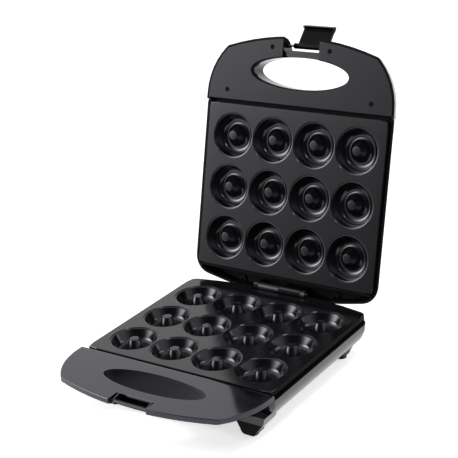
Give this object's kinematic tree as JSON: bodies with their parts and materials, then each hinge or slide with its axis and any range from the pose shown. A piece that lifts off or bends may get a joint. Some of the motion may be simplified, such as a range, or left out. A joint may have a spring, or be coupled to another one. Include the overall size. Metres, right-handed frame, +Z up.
{
  "type": "ring_cake_maker",
  "caption": "Open hinged countertop maker for small ring cakes: cast plates with ring moulds in a lid and a base on legs, with front handles and a swinging latch",
  "frame": {"origin": "on the table, under the middle of the open maker's bounding box", "axes": "+X to the maker's right seen from the front, -Y towards the front handle, +Z up; the hinge axis runs along X"},
  "size_m": [0.244, 0.4087, 0.3328],
  "materials": {
    "shell_grey": "smooth moulded",
    "gloss_black": "high gloss moulded",
    "nonstick": "non-stick coating on die-cast metal",
    "element": "heat-tinted sheath",
    "sheet": "plain rolled sheet",
    "ceramic": "matte",
    "insulation": "silicone sleeve",
    "steel": "plated steel",
    "rubber": "matte",
    "satin_black": "satin moulded",
    "lens": "clear tinted",
    "lamp": "clear"
  },
  "bodies": {
    "base": {"base_shell": "shell_grey", "base_deck": "gloss_black", "base_plate": "nonstick", "base_heater": "element", "base_heater_clips": "sheet", "base_reflector": "sheet", "thermostat": "ceramic", "thermal_fuse": "ceramic", "terminal_block": "ceramic", "base_wires": "insulation", "base_plate_screws": "steel", "base_deck_screws": "steel", "foot_pads": "rubber", "cord_gland": "satin_black", "hinge_pin": "steel"},
    "lid": {"lid_shell": "gloss_black", "lid_handle_cover": "satin_black", "lid_plate": "nonstick", "lid_heater": "element", "lid_heater_clips": "sheet", "lid_reflector": "sheet", "lid_plate_screws": "steel", "lid_cover_screws": "steel", "lid_wires": "insulation", "lamp_lenses": "lens", "neon_lamps": "lamp", "latch_pin": "steel"},
    "latch": {"latch": "satin_black"}
  },
  "joints": [
    {"name": "lid_hinge", "type": "hinge", "parent": "base", "child": "lid", "pos_m": [0, 0.08275, 0.052], "axis": [1, 0, 0], "range_deg": [0, 105.66]},
    {"name": "latch_hinge", "type": "hinge", "parent": "lid", "child": "latch", "pos_m": [0, 0.17595, 0.31407], "axis": [1, 0, 0], "range_deg": [0, 120.5]}
  ]
}
